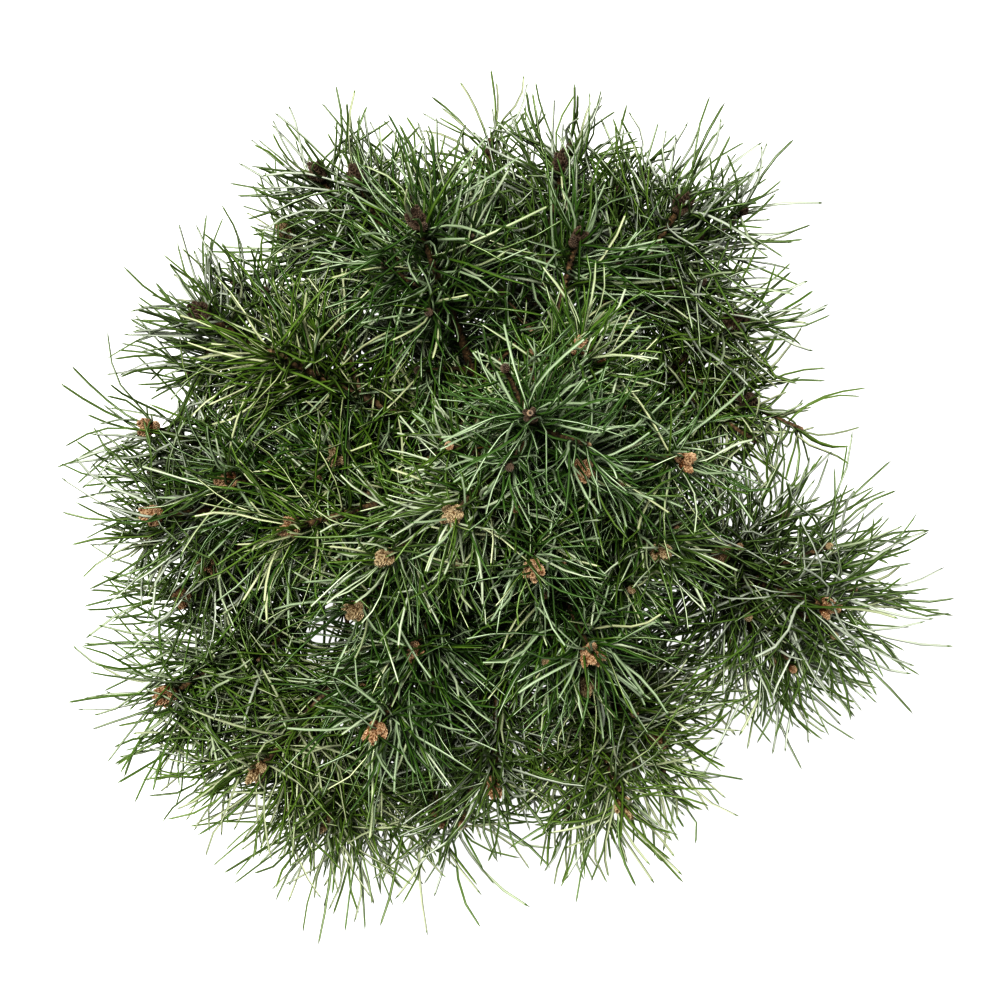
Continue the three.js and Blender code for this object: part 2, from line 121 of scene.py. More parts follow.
# The branches as in the solid model: name, height of the foot on the trunk, the leading shoot's
# azimuth, reach and height, and each side shoot's turn, reach and height
BRANCHES = [
    ("right_low", 224, (340, 214, 450), [(-12, 210, 385), (3, 143, 420)]),
    ("back_low", 226, (93, 233, 370), []),
    ("left_front_low", 228, (211, 262, 360), [(-13, 229, 345)]),
    ("back_left_low", 246, (131, 224, 360), []),
    ("right_back_low", 246, (37, 180, 400), [(-16, 168, 365)]),
    ("front_left_low", 248, (241, 249, 340), [(17, 222, 350)]),
    ("front_right_low", 250, (301, 187, 375), []),
    ("back_right", 312, (59, 211, 440), [(8, 225, 365)]),
    ("left_back", 310, (150, 223, 460), []),
    ("front_left", 308, (228, 245, 385), []),
    ("front_right", 322, (290, 214, 430), []),
    ("back_left", 339, (116, 219, 460), [(5, 236, 440)]),
    ("left", 326, (184, 225, 450), [(-14, 235, 420), (10, 203, 385)]),
    ("front", 340, (267, 188, 430), []),
    ("back", 354, (81, 211, 425), []),
    ("back_left_high", 409, (109, 167, 580), []),
    ("left_high", 421, (178, 173, 495), [(-8, 108, 500)]),
    ("front_left_high", 410, (241, 168, 505), [(-2, 115, 495)]),
    ("right_high", 425, (338, 96, 570), []),
    ("left_back_high", 434, (150, 170, 525), []),
    ("front_right_high", 441, (296, 108, 570), [(-5, 128, 500)]),
    ("back_high", 446, (75, 159, 505), []),
    ("left_middle", 464, (190, 134, 545), []),
    ("left_front_high", 482, (218, 117, 530), []),
    ("crown_left", 538, (208, 81, 620), []),
    ("crown_right", 540, (10, 103, 600), []),
    ("crown_back", 556, (64, 90, 640), []),
    ("crown_front", 568, (286, 46, 650), []),
    ("crown_right_top", 580, (15, 42, 670), []),
    ("crown_left_top", 590, (203, 34, 682), []),
]
FEET = {name: foot for name, foot, _, _ in BRANCHES}
LEADER_TIP = (76, 42, 755)

# The branches whose needles are joined to one piece
REGIONS = {
    "low_right": ["right_low", "right_back_low", "front_right_low", "back_low"],
    "low_left": ["left_front_low", "back_left_low", "front_left_low"],
    "middle_back": ["back_right", "left_back", "back_left", "back"],
    "middle_front": ["front_left", "front_right", "left", "front"],
    "high_left": ["back_left_high", "left_high", "front_left_high", "left_back_high"],
    "high_right": ["right_high", "front_right_high", "back_high", "left_middle", "left_front_high"],
    "crown": [
        "crown_left", "crown_right", "crown_back", "crown_front",
        "crown_right_top", "crown_left_top", "leader",
    ],
}

# Branches whose needles are longer or shorter, and more or fewer, than those of the others
GROWTH = {
    "right_low": (1.2, 0.82),
    "back_low": (0.7, 0.6),
    "left_front_low": (1.1, 1.0),
    "back_left_low": (0.8, 0.85),
    "right_back_low": (0.92, 0.95),
    "front_left_low": (1.2, 0.95),
    "front_right_low": (1.1, 1.1),
    "left_back": (0.94, 0.9),
    "front_left": (1.05, 0.95),
    "front_right": (1.02, 1.0),
    "back_left": (0.88, 0.95),
    "back": (0.86, 0.9),
    "left": (1.0, 0.9),
    "crown_back": (0.92, 1.0),
    "leader": (0.98, 0.7),
}
SIDE_SHOOT_SHARE = 0.9  # of the leading shoot's needle length
# The same on the finer twigs: needle length and number, as shares of the leading shoot's
YEAR_TWIG_GROWTH = (0.84, 0.76)
INNER_TWIG_GROWTH = (0.78, 0.55)
EDGE_TWIG_GROWTH = (0.8, 0.75)

# Twigs at the crown's edge: the branch, and for each the place of its fork as a share of the
# leading shoot, and its tip's azimuth, reach and height
EDGE_TWIGS = [
    ("back_right", [
        (0.45, 50, 234, 425), (0.3, 53, 206, 400), (0.3, 36, 190, 400), (0.4, 70, 206, 410),
    ]),
    ("left_front_low", [(0.5, 217, 262, 345)]),
    ("front_left", [(0.5, 223, 268, 350), (0.65, 235, 258, 345)]),
    ("right_low", [(0.7, 344, 230, 425)]),
    ("right_back_low", [(0.5, 12, 196, 390)]),
    ("right_low", [
        (0.5, 350, 208, 430), (0.55, 336, 228, 425), (0.3, 355, 180, 400), (0.45, 328, 216, 415),
    ]),
    ("right_back_low", [(0.4, 12, 164, 385)]),
    ("back", [(0.5, 80, 226, 410), (0.35, 104, 205, 400)]),
    ("front_right", [(0.55, 280, 218, 365), (0.5, 299, 212, 370)]),
    ("front_left_low", [(0.6, 244, 246, 330)]),
    ("front", [(0.5, 262, 222, 370)]),
    ("left_back", [(0.4, 143, 226, 405), (0.4, 155, 226, 400)]),
    ("left", [(0.5, 177, 236, 400), (0.4, 187, 238, 380)]),
    ("back", [(0.3, 112, 190, 400), (0.5, 111, 214, 400)]),
    ("left_back", [(0.5, 160, 224, 400), (0.1, 157, 142, 395), (0.3, 161, 195, 395)]),
    ("left_front_low", [(0.2, 214, 202, 355)]),
    ("back_low", [(0.3, 88, 200, 365)]),
    ("right_back_low", [(0.1, 9, 118, 380)]),
    ("front_left_low", [(0.5, 240, 252, 332)]),
]

# Places where the crown is open from above: x, y and radius at OPENING_HEIGHT
OPENING_HEIGHT = 400
OPENINGS = [
    (-225, 57, 9), (-244, 66, 9), (-257, 56, 9), (-217, 64, 7), (-221, 134, 7),
    (-181, 165, 9), (-197, 186, 9), (3, -228, 7), (10, -222, 7), (6, -249, 8),
    (180, 90, 9), (187, 78, 9), (181, 59, 8), (161, 150, 8), (164, 175, 7),
    (115, 229, 8), (95, 230, 7), (62, 237, 8), (-122, 226, 9), (-41, 229, 6),
    (78, -228, 6), (-262, -146, 9), (-219, -90, 6), (128, -164, 7), (-18, 247, 7),
    (-169, 182, 7), (-253, -47, 8), (-256, -124, 6), (-175, -216, 9), (86, -218, 6),
    (-17, -236, 7), (78, -223, 6), (184, 91, 7), (195, 25, 7), (151, -146, 7),
    (-106, -84, 8), (-118, -97, 5), (232, -24, 8), (256, -92, 9), (256, -50, 4),
    (193, 47, 9), (185, 17, 8), (209, 6, 8), (170, -9, 6), (205, -147, 6),
    (138, 34, 5), (123, -9, 5), (133, -181, 7), (-26, -246, 8), (-193, -213, 7),
    (205, 17, 7), (-257, 48, 5), (189, 62, 7), (-225, 47, 6), (137, -146, 5),
]

# Dark hollows between the tufts: x, y and radius at HOLLOW_HEIGHT, and the height above which
# no needles cross them
HOLLOW_HEIGHT = 450
HOLLOWS = [
    (2, 86, 12, 430), (14, 112, 12, 430), (-29, 106, 9, 450), (-24, 82, 9, 480),
    (-61, 88, 9, 430), (-87, 97, 9, 420), (0, 179, 9, 410), (-89, -11, 9, 430),
    (-55, 27, 8, 440), (-24, 45, 7, 450), (-2, -38, 7, 440),
]

# Branches whose buds have another colour than fox-red or straw. The dark colour is the buds' own dark
# red-brown on the back branches; on the leader it is also painted shade, for the hollow among the
# needles that its bud sits in.
DARK_BUDDED = ["back_right", "back_left", "left_back", "back_left_high", "back", "back_high"]
DARK_BUDDED += ["right_back_low", "back_low", "leader"]
YELLOW_BUDDED = ["left_back_high"]
STRAW_SHARE = 0.35
BUDLESS_SHARE = 0.25  # of the finer twigs

# Branches whose buds are small and sit low among the needles, with their share of the usual size
SUNK_BUDS = {"leader": 0.58, "left_back_high": 0.5, "back_low": 0.5}


# Helpers for modelling


def activate(piece):
    bpy.ops.object.select_all(action="DESELECT")
    piece.select_set(True)
    bpy.context.view_layer.objects.active = piece


def edit_mesh():
    bpy.ops.object.mode_set(mode="EDIT")


def leave_mesh():
    bpy.ops.object.mode_set(mode="OBJECT")


def open_mesh():
    """Goes into the active piece's mesh, with all of it selected."""
    edit_mesh()
    bpy.ops.mesh.select_all(action="SELECT")


def select_open_edges():
    bpy.ops.mesh.select_all(action="DESELECT")
    bpy.ops.mesh.select_mode(type="EDGE")
    bpy.ops.mesh.select_non_manifold()


def close_mesh():
    """Turns the mesh's faces outwards and leaves it."""
    bpy.ops.mesh.select_all(action="SELECT")
    bpy.ops.mesh.normals_make_consistent(inside=False)
    leave_mesh()


def smooth_by_angle(piece, degrees):
    activate(piece)
    bpy.ops.object.shade_smooth_by_angle(angle=math.radians(degrees))


def apply_modifier(piece, kind, **settings):
    activate(piece)
    modifier = piece.modifiers.new(kind.title(), kind)
    for key, value in settings.items():
        setattr(modifier, key, value)
    bpy.ops.object.modifier_apply(modifier=modifier.name)


def displace(piece, kind, size, height, middle=0.5, weights=(1, 0)):
    """Pushes a surface in and out by a texture. size and height are in millimetres."""
    texture = bpy.data.textures.new("relief", kind)
    texture.noise_scale = size * MM
    if kind == "VORONOI":
        texture.weight_1, texture.weight_2 = weights
    settings = {"texture": texture, "strength": height * MM, "mid_level": middle}
    apply_modifier(piece, "DISPLACE", texture_coords="LOCAL", **settings)
    bpy.data.textures.remove(texture)


def add_disc(sides, radius, height):
    """A level disc on the pot's axis, at a height in millimetres."""
    bpy.ops.mesh.primitive_circle_add(
        vertices=sides, radius=radius * MM, fill_type="NGON", location=(0, 0, height * MM)
    )
    bpy.ops.object.transform_apply(location=True, rotation=True, scale=True)
    return bpy.context.object


def draw_up(sides, sections, turn=0):
    """A disc drawn up through (radius, height) sections, with a turn at each. It stays open."""
    piece = add_disc(sides, *sections[0])
    open_mesh()
    for (radius, height), (next_radius, next_height) in zip(sections, sections[1:]):
        rise = (0, 0, (next_height - height) * MM)
        bpy.ops.mesh.extrude_region_move(TRANSFORM_OT_translate={"value": rise})
        share = next_radius / radius
        centre = (0, 0, next_height * MM)
        bpy.ops.transform.resize(value=(share, share, 1), center_override=centre)
        if turn:
            bpy.ops.transform.rotate(value=turn, orient_axis="Z", center_override=centre)
    return piece


def dress(piece, name, materials, replaced=()):
    """Names a finished piece and ties it to the frame."""
    piece.name = name
    piece.data.name = name
    for material in materials:
        piece.data.materials.append(material)
    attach(piece, "root")
    if replaced:
        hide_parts(*replaced)
    return piece


def form_of(piece):
    """A small piece's corners in millimetres, its triangles and their finishes, then removes it."""
    apply_modifier(piece, "TRIANGULATE")
    mesh = piece.data
    corners = np.empty(3 * len(mesh.vertices))
    mesh.vertices.foreach_get("co", corners)
    triangles = np.empty(3 * len(mesh.polygons), int)
    mesh.polygons.foreach_get("vertices", triangles)
    finishes = np.empty(len(mesh.polygons), int)
    mesh.polygons.foreach_get("material_index", finishes)
    bpy.data.objects.remove(piece)
    return corners.reshape(-1, 3) / MM, triangles.reshape(-1, 3), finishes


def joined(copies, triangles, finishes):
    """One mesh of many copies of a form. copies holds each copy's corners, finishes its faces'."""
    count, size = copies.shape[:2]
    faces = triangles[None] + size * np.arange(count)[:, None, None]
    mesh = bpy.data.meshes.new("joined")
    mesh.vertices.add(count * size)
    mesh.vertices.foreach_set("co", (copies * MM).ravel())
    mesh.loops.add(faces.size)
    mesh.loops.foreach_set("vertex_index", faces.ravel())
    mesh.polygons.add(faces.size // 3)
    mesh.polygons.foreach_set("loop_start", np.arange(0, faces.size, 3))
    mesh.polygons.foreach_set("material_index", np.broadcast_to(finishes, faces.shape[:2]).ravel())
    mesh.update(calc_edges=True)
    mesh.shade_smooth()
    piece = bpy.data.objects.new("joined", mesh)
    bpy.context.scene.collection.objects.link(piece)
    return piece


def seeded(seed):
    """Numbers from 0 to 1, drawn as the solid model draws them."""
    state = [seed & 0xFFFFFFFF]

    def draw():
        state[0] = (state[0] + 0x6D2B79F5) & 0xFFFFFFFF
        mixed = ((state[0] ^ (state[0] >> 15)) * (state[0] | 1)) & 0xFFFFFFFF
        stirred = ((mixed ^ (mixed >> 7)) * (mixed | 61)) & 0xFFFFFFFF
        mixed ^= (mixed + stirred) & 0xFFFFFFFF
        return ((mixed ^ (mixed >> 14)) & 0xFFFFFFFF) / 4294967296

    return draw


def polar(azimuth, reach, height):
    turn = math.radians(azimuth)
    return np.array([reach * math.cos(turn), reach * math.sin(turn), height])


def unit(vectors):
    return vectors / np.linalg.norm(vectors, axis=-1, keepdims=True)


def square_to(axes, vectors):
    """The part of each vector that is square to its axis."""
    return vectors - axes * np.sum(vectors * axes, axis=-1, keepdims=True)


def across(axes, hint=(-0.31, 0.52, 0.8)):
    """Two directions square to each axis."""
    first = unit(np.asarray(hint) - axes * (axes @ np.asarray(hint))[..., None])
    return first, np.cross(axes, first)


def turned_about(axes, turns):
    """A direction square to each axis, at a turn about it."""
    first, second = across(axes)
    turns = np.asarray(turns)[..., None]
    return np.cos(turns) * first + np.sin(turns) * second


# Camera, light and floor

CAMERA_HEIGHT = 2.4
CAMERA_PLACE = (-6 * MM, -6 * MM, CAMERA_HEIGHT)
FRAMED_WIDTH = 0.62  # of the picture, at the height of the crown's middle
FRAMED_HEIGHT = 0.5
SENSOR_WIDTH = 36


def add_camera():
    bpy.ops.object.camera_add(location=CAMERA_PLACE, rotation=(0, 0, 0))
    camera = bpy.context.object
    camera.name = "camera_above"
    camera.data.sensor_width = SENSOR_WIDTH
    camera.data.lens = SENSOR_WIDTH * (CAMERA_HEIGHT - FRAMED_HEIGHT) / FRAMED_WIDTH
    bpy.context.scene.camera = camera


def add_softbox(name, place, size, power, colour):
    bpy.ops.object.light_add(type="AREA", location=place)
    light = bpy.context.object
    light.name = name
    light.data.shape = "DISK"
    light.data.size = size
    light.data.energy = power
    light.data.color = colour
    aim = Vector((0, 0, 0.4)) - Vector(place)
    light.rotation_euler = aim.to_track_quat("-Z", "Y").to_euler()


def add_studio():
    add_softbox("key_softbox", (-0.75, 0.92, 6.4), 1.7, 955, (1.0, 0.99, 0.96))
    add_softbox("fill_softbox", (1.9, -1.8, 1.9), 1.8, 30, (0.97, 0.98, 1.0))
    world = bpy.data.worlds.new("studio_air")
    bpy.context.scene.world = world
    world.use_nodes = True
    air = world.node_tree.nodes["Background"]
    air.inputs["Color"].default_value = (1.0, 0.995, 0.98, 1)
    air.inputs["Strength"].default_value = 0.55
    # Deep shadows between the needles, and a floor that stays white
    bpy.context.scene.view_settings.view_transform = "Standard"
    bpy.context.scene.view_settings.look = "Very High Contrast"
    bpy.ops.mesh.primitive_plane_add(size=8)
    floor = bpy.context.object
    floor.name = "studio_floor"
    # Opal acrylic of a light table: it glows from below, so that shadows on it stay pale
    acrylic, _, shader = new_material("opal_acrylic_table", 0.6, "#585858")
    shader.inputs["Emission Color"].default_value = (1, 1, 1, 1)
    shader.inputs["Emission Strength"].default_value = 0.53
    floor.data.materials.append(acrylic)


# Materials


def linear(hex_colour):
    """An sRGB hex colour as the linear one that a shader takes."""
    parts = [int(hex_colour[i : i + 2], 16) / 255 for i in (1, 3, 5)]
    return tuple(c / 12.92 if c <= 0.04045 else ((c + 0.055) / 1.055) ** 2.4 for c in parts) + (1,)


def new_material(name, roughness, colour=None, ior=1.5):
    material = bpy.data.materials.new(name)
    material.use_nodes = True
    shader = material.node_tree.nodes["Principled BSDF"]
    shader.inputs["Roughness"].default_value = roughness
    shader.inputs["IOR"].default_value = ior
    if colour:
        shader.inputs["Base Color"].default_value = linear(colour)
    return material, material.node_tree, shader


def add_node(tree, kind, output, links=(), values=(), **settings):
    """Adds a node with its links (input, source) and values (input, value). Gives one output."""
    node = tree.nodes.new(kind)
    for key, value in settings.items():
        setattr(node, key, value)
    for socket, value in values:
        node.inputs[socket].default_value = value
    for socket, source in links:
        tree.links.new(source, node.inputs[socket])
    return node.outputs[output]


def add_place(tree):
    return add_node(tree, "ShaderNodeTexCoord", "Object")


def add_height(tree, place):
    return add_node(tree, "ShaderNodeSeparateXYZ", "Z", [("Vector", place)])


def add_noise(tree, place, size, detail, roughness=0.5):
    """Noise with spots of a size in millimetres."""
    values = [("Scale", 1 / (size * MM)), ("Detail", detail), ("Roughness", roughness)]
    return add_node(tree, "ShaderNodeTexNoise", "Fac", [("Vector", place)], values)


def add_cells(tree, output, place, size, **settings):
    """Cells of a size in millimetres."""
    values = [("Scale", 1 / (size * MM))]
    return add_node(tree, "ShaderNodeTexVoronoi", output, [("Vector", place)], values, **settings)


def add_range(tree, source, start, end, low=0.0, high=1.0):
    """Carries a value from the range start..end to the range low..high."""
    values = [("From Min", start), ("From Max", end), ("To Min", low), ("To Max", high)]
    return add_node(tree, "ShaderNodeMapRange", "Result", [("Value", source)], values)


def add_tone(tree, source, stops):
    """Colours a value by stops of (place, hex colour)."""
    tone = add_node(tree, "ShaderNodeValToRGB", "Color", [("Fac", source)])
    elements = tone.node.color_ramp.elements
    while len(elements) < len(stops):
        elements.new(0.5)
    for element, (place, colour) in zip(elements, stops):
        element.position = place
        element.color = linear(colour)
    return tone


def add_mix(tree, below, above, links=(), values=(), **settings):
    """Mixes two colours, by the share at input 0. The node takes them at 6 and 7 and gives 2."""
    links = [(6, below), (7, above), *links]
    return add_node(tree, "ShaderNodeMix", 2, links, values, data_type="RGBA", **settings)


def paint(tree, shader, source):
    tree.links.new(source, shader.inputs["Base Color"])


def add_relief(tree, shader, source, depth, strength):
    values = [("Distance", depth * MM), ("Strength", strength)]
    relief = add_node(tree, "ShaderNodeBump", "Normal", [("Height", source)], values)
    tree.links.new(relief, shader.inputs["Normal"])


def needle_material(name, colour, roughness):
    # Waxy pine cuticle: a plain leaf green with a narrow soft gleam along the needle. The fine
    # pores lie in rows too small to show, and are drawn as a faint grain.
    material, tree, shader = new_material(name, roughness, colour, ior=1.45)
    pores = add_noise(tree, add_place(tree), 0.8, 2)
    add_relief(tree, shader, pores, 0.05, 0.5)
    return material


def bud_material(name, colours, roughness):
    # Resin-coated bud scales: warm brown with a sticky, broken sheen
    material, tree, shader = new_material(name, roughness, ior=1.52)
    resin = add_noise(tree, add_place(tree), 2.2, 4)
    paint(tree, shader, add_tone(tree, resin, list(zip((0.36, 0.52, 0.68), colours))))
    add_relief(tree, shader, resin, 0.4, 0.6)
    return material


def bark_material():
    # Young pine bark: papery grey-brown flakes near the ground, fox-red above
    material, tree, shader = new_material("flaking_pine_bark", 0.88)
    place = add_place(tree)
    stretch = [("Scale", (1, 1, 0.4))]
    drawn_up = add_node(tree, "ShaderNodeMapping", "Vector", [("Vector", place)], stretch)
    flakes = add_cells(tree, "Distance", drawn_up, 4.5, feature="DISTANCE_TO_EDGE")
    patches = add_noise(tree, place, 13, 5, 0.6)
    grain = add_noise(tree, drawn_up, 1.4, 6, 0.65)
    age = add_range(tree, add_height(tree, place), 0.18, 0.46)
    old = add_tone(tree, patches, [(0.3, "#3e342c"), (0.5, "#65564a"), (0.7, "#887a6a")])
    young = add_tone(tree, patches, [(0.3, "#593b24"), (0.5, "#835a36"), (0.7, "#a2845a")])
    cracks = add_tone(tree, flakes, [(0.0, "#4a3c33"), (0.14, "#ffffff")])
    speckle = add_tone(tree, grain, [(0.34, "#8f8378"), (0.66, "#ffffff")])
    skin = add_mix(tree, old, young, links=[(0, age)])
    for tone, share in ((cracks, 0.7), (speckle, 0.8)):
        skin = add_mix(tree, skin, tone, values=[(0, share)], blend_type="MULTIPLY")
    paint(tree, shader, skin)
    add_relief(tree, shader, grain, 0.7, 0.8)
    return material


def twig_material():
    # A shoot's skin: buff-brown, ridged by the scale leaves that ran down from each pair
    material, tree, shader = new_material("ridged_shoot_skin", 0.7)
    ridges = add_cells(tree, "Distance", add_place(tree), 2.2)
    stops = [(0.1, "#5d4d36"), (0.5, "#443624"), (0.85, "#281e15")]
    paint(tree, shader, add_tone(tree, ridges, stops))
    add_relief(tree, shader, ridges, 0.6, 0.8)
    return material


def pot_material():
    # Injection-moulded polypropylene: near-black with a fine moulded grain, dusty where water
    # has splashed compost up the wall
    material, tree, shader = new_material("moulded_polypropylene", 0.45, ior=1.49)
    place = add_place(tree)
    grain = add_noise(tree, place, 0.9, 3)
    dust = add_noise(tree, place, 34, 9, 0.68)
    splash = add_range(tree, add_height(tree, place), 0.0, 0.08, 0.14, 0.0)
    dirt = add_node(tree, "ShaderNodeMath", "Value", [(0, dust), (1, splash)], operation="ADD")
    stops = [(0.48, "#1d1f20"), (0.6, "#27292a"), (0.8, "#4d4841")]
    paint(tree, shader, add_tone(tree, dirt, stops))
    dull = add_range(tree, dirt, 0.42, 0.78, 0.38, 0.75)
    tree.links.new(dull, shader.inputs["Roughness"])
    add_relief(tree, shader, grain, 0.1, 0.5)
    return material


def compost_material(name, stops):
    # Damp bark compost: dark crumbs, paler fibres and the odd grey grain
    material, tree, shader = new_material(name, 0.92)
    place = add_place(tree)
    crumbs = add_cells(tree, "Color", place, 3.2)
    paint(tree, shader, add_tone(tree, crumbs, stops))
    add_relief(tree, shader, add_noise(tree, place, 1.5, 5), 0.8, 0.9)
    return material


# Pot


def arc(radius, height, bend, start, end, steps):
    """Sections round a bend of an outline, about a centre at that radius and height."""
    turns = [math.radians(start + (end - start) * i / steps) for i in range(steps + 1)]
    return [(radius + bend * math.cos(t), height + bend * math.sin(t)) for t in turns]


def pot_sections():
    inside = POT_SHOULDER_RADIUS - POT_WALL
    band_inside = POT_BAND_RADIUS - POT_WALL
    rim_roll = 1.6
    lip = POT_HEIGHT - POT_RIM_DEPTH
    return [
        (POT_FOOT_RADIUS - 9, 1.6),
        (POT_FOOT_RADIUS - 8, 0.4),
        *arc(POT_FOOT_RADIUS - 6.5, 0.5, 0.5, 180, 270, 3),
        *arc(POT_FOOT_RADIUS - 2, 2, 2, 270, 352, 5),
        (POT_FOOT_RADIUS + 1.1, 9),
        (POT_FOOT_RADIUS + 6.4, 48),
        (POT_FOOT_RADIUS + 13, 101),
        *arc(POT_SHOULDER_RADIUS - 1.2, POT_SHOULDER_HEIGHT - 1.5, 1.2, -8, 60, 3),
        *arc(POT_BAND_RADIUS - 1.6, POT_SHOULDER_HEIGHT + 2.2, 1.6, -80, 0, 4),
        (POT_BAND_RADIUS + 0.4, (POT_SHOULDER_HEIGHT + lip) / 2),
        *arc(POT_BAND_RADIUS + 1.6, lip - 1.1, 0.9, 180, 90, 3),
        *arc(POT_RIM_RADIUS - 1.2, lip + 1.0, 1.2, -90, 0, 4),
        *arc(POT_RIM_RADIUS - rim_roll, POT_HEIGHT - rim_roll, rim_roll, 0, 90, 5),
        *arc(band_inside + 1.4, POT_HEIGHT - 2.0, 1.4, 90, 180, 4),
        (band_inside - 0.4, POT_SHOULDER_HEIGHT + 4),
        (inside + 0.6, POT_SHOULDER_HEIGHT),
        (inside, POT_SHOULDER_HEIGHT - 4),
        (POT_FOOT_RADIUS + 2 - POT_WALL, 14),
        (POT_FOOT_RADIUS - POT_WALL, POT_FLOOR + 3),
        (POT_FOOT_RADIUS - POT_WALL - 3, POT_FLOOR),
        (4, POT_FLOOR),
    ]


def drill_holes(pot):
    drills = []
    for i in range(DRAIN_HOLES):
        place = polar(360 / DRAIN_HOLES * i, DRAIN_RING_RADIUS, POT_FLOOR) * MM
        bpy.ops.mesh.primitive_cylinder_add(
            vertices=24, radius=DRAIN_HOLE_RADIUS * MM, depth=4 * POT_FLOOR * MM, location=place
        )
        drills.append(bpy.context.object)
    bpy.ops.object.select_all(action="DESELECT")
    for drill in drills:
        drill.select_set(True)
    bpy.ops.object.join()
    drill = bpy.context.object
    apply_modifier(pot, "BOOLEAN", object=drill, operation="DIFFERENCE", solver="EXACT")
    bpy.data.objects.remove(drill)


def make_pot():
    pot = draw_up(POT_SIDES, pot_sections())
    select_open_edges()
    bpy.ops.mesh.edge_face_add()
    close_mesh()
    drill_holes(pot)
    smooth_by_angle(pot, 38)
    dress(pot, "pot_shell", [pot_material()], ["pot"])


# Compost


def make_compost():
    bed = add_disc(COMPOST_SIDES, COMPOST_RADIUS, COMPOST_LEVEL - COMPOST_EDGE_DROP)
    open_mesh()
    for _ in range(COMPOST_RINGS):
        bpy.ops.mesh.inset(thickness=COMPOST_RING_WIDTH * MM)
        bpy.ops.transform.translate(value=(0, 0, COMPOST_EDGE_DROP / COMPOST_RINGS * MM))
    bpy.ops.mesh.poke()
    leave_mesh()
    # Clods, then crumbs
    displace(bed, "CLOUDS", 17, 7)
    displace(bed, "CLOUDS", 4.5, 2.6)
    open_mesh()
    select_open_edges()
    for radius, height in COMPOST_SIDE:
        bpy.ops.mesh.extrude_edges_move()
        set_ring(radius, height)
    bpy.ops.mesh.edge_face_add()
    close_mesh()
    smooth_by_angle(bed, 60)
    soil = [(0.1, "#120c08"), (0.45, "#241810"), (0.75, "#3a291c"), (0.95, "#5c4a38")]
    material = compost_material("damp_compost", soil)
    return dress(bed, "compost_bed", [material], ["compost"])


def set_ring(radius, height):
    """Moves the selected ring of points to a radius and a height."""
    leave_mesh()
    for vertex in bpy.context.object.data.vertices:
        if vertex.select:
            turn = math.atan2(vertex.co.y, vertex.co.x)
            vertex.co = (radius * MM * math.cos(turn), radius * MM * math.sin(turn), height * MM)
    edit_mesh()


def surface_under(bed, x, y):
    """The compost's height at a place, in millimetres."""
    hit, point, _, _ = bed.ray_cast(Vector((x * MM, y * MM, 0.3)), Vector((0, 0, -1)))
    return point.z / MM if hit else COMPOST_LEVEL


def chip_form(seed):
    """A rough flat bark chip, 1 long, with uneven corners."""
    rng = np.random.default_rng(seed)
    bpy.ops.mesh.primitive_cube_add(size=1 * MM)
    chip = bpy.context.object
    open_mesh()
    bpy.ops.mesh.subdivide(number_cuts=1)
    leave_mesh()
    for vertex in chip.data.vertices:
        swell = 1.25 - 0.35 * (vertex.co.length / MM)
        shift = rng.uniform(-0.13, 0.13, 3) * MM
        vertex.co = vertex.co * swell + Vector(shift)
    return form_of(chip)


def spread_over_bed(rng, count, clear):
    """Random places on the compost, clear of the stem and the pot's wall."""
    reach = np.sqrt(rng.uniform(clear**2, (COMPOST_RADIUS - 7) ** 2, count))
    turn = rng.uniform(0, math.tau, count)
    return reach * np.cos(turn), reach * np.sin(turn)


def make_chips(bed):
    rng = np.random.default_rng(SEED)
    forms = [chip_form(seed) for seed in (3, 5, 8)]
    triangles = forms[0][1]
    xs, ys = spread_over_bed(rng, CHIPS, TRUNK_BASE_RADIUS + TRUNK_FLARE + 4)
    copies = []
    for i, (x, y) in enumerate(zip(xs, ys)):
        length = 3.5 + 10 * rng.random() ** 2.2
        size = length * np.array([1, rng.uniform(0.4, 0.8), rng.uniform(0.16, 0.34)])
        up = unit(np.array([rng.normal(0, 0.28), rng.normal(0, 0.28), 1]))
        turn = rng.uniform(0, math.tau)
        along, over = across(up, (math.cos(turn), math.sin(turn), 0.01))
        turned = np.stack([along, over, up])
        place = np.array([x, y, surface_under(bed, x, y) + 0.25 * size[2]])
        copies.append((forms[i % 3][0] * size) @ turned + place)
    chips = joined(np.array(copies), triangles, rng.integers(0, 2, (CHIPS, 1)))
    smooth_by_angle(chips, 40)
    bark = [(0.1, "#2a1a10"), (0.45, "#4b3221"), (0.75, "#6b4d35"), (0.95, "#8f7a60")]
    greys = [(0.1, "#2b231d"), (0.5, "#574b40"), (0.9, "#877a6a")]
    tones = {"composted_bark_brown": bark, "composted_bark_grey": greys}
    materials = [compost_material(name, stops) for name, stops in tones.items()]
    dress(chips, "bark_chips", materials)


# Lines that the trunk, the boughs and the shoots follow


class Line:
    """A line through points, measured along its length."""

    def __init__(self, points):
        self.points = np.asarray(points, float)
        steps = np.linalg.norm(np.diff(self.points, axis=0), axis=1)
        self.along = np.concatenate([[0], np.cumsum(steps)])
        self.length = self.along[-1]

    def at(self, distance):
        columns = [np.interp(distance, self.along, self.points[:, k]) for k in range(3)]
        return np.stack(columns, axis=-1)

    def heading(self, distance):
        step = 0.02 * self.length
        ahead = self.at(np.minimum(np.asarray(distance) + step, self.length))
        behind = self.at(np.maximum(np.asarray(distance) - step, 0))
        return unit(ahead - behind)

    def part(self, start, end):
        return Line(self.at(np.linspace(start, end, 81)))


leader_tip = polar(*LEADER_TIP)
trunk_foot_height = COMPOST_LEVEL + GAP


def trunk_at(height):
    rise = (height - trunk_foot_height) / (leader_tip[2] - trunk_foot_height)
    sway = np.sin(math.tau * rise)
    bow = np.sign(rise) * np.abs(rise) ** 1.3
    x = leader_tip[0] * rise - 5 * sway
    y = leader_tip[1] * bow - 3 * sway
    return np.stack([x, y, height + 0 * x], axis=-1)


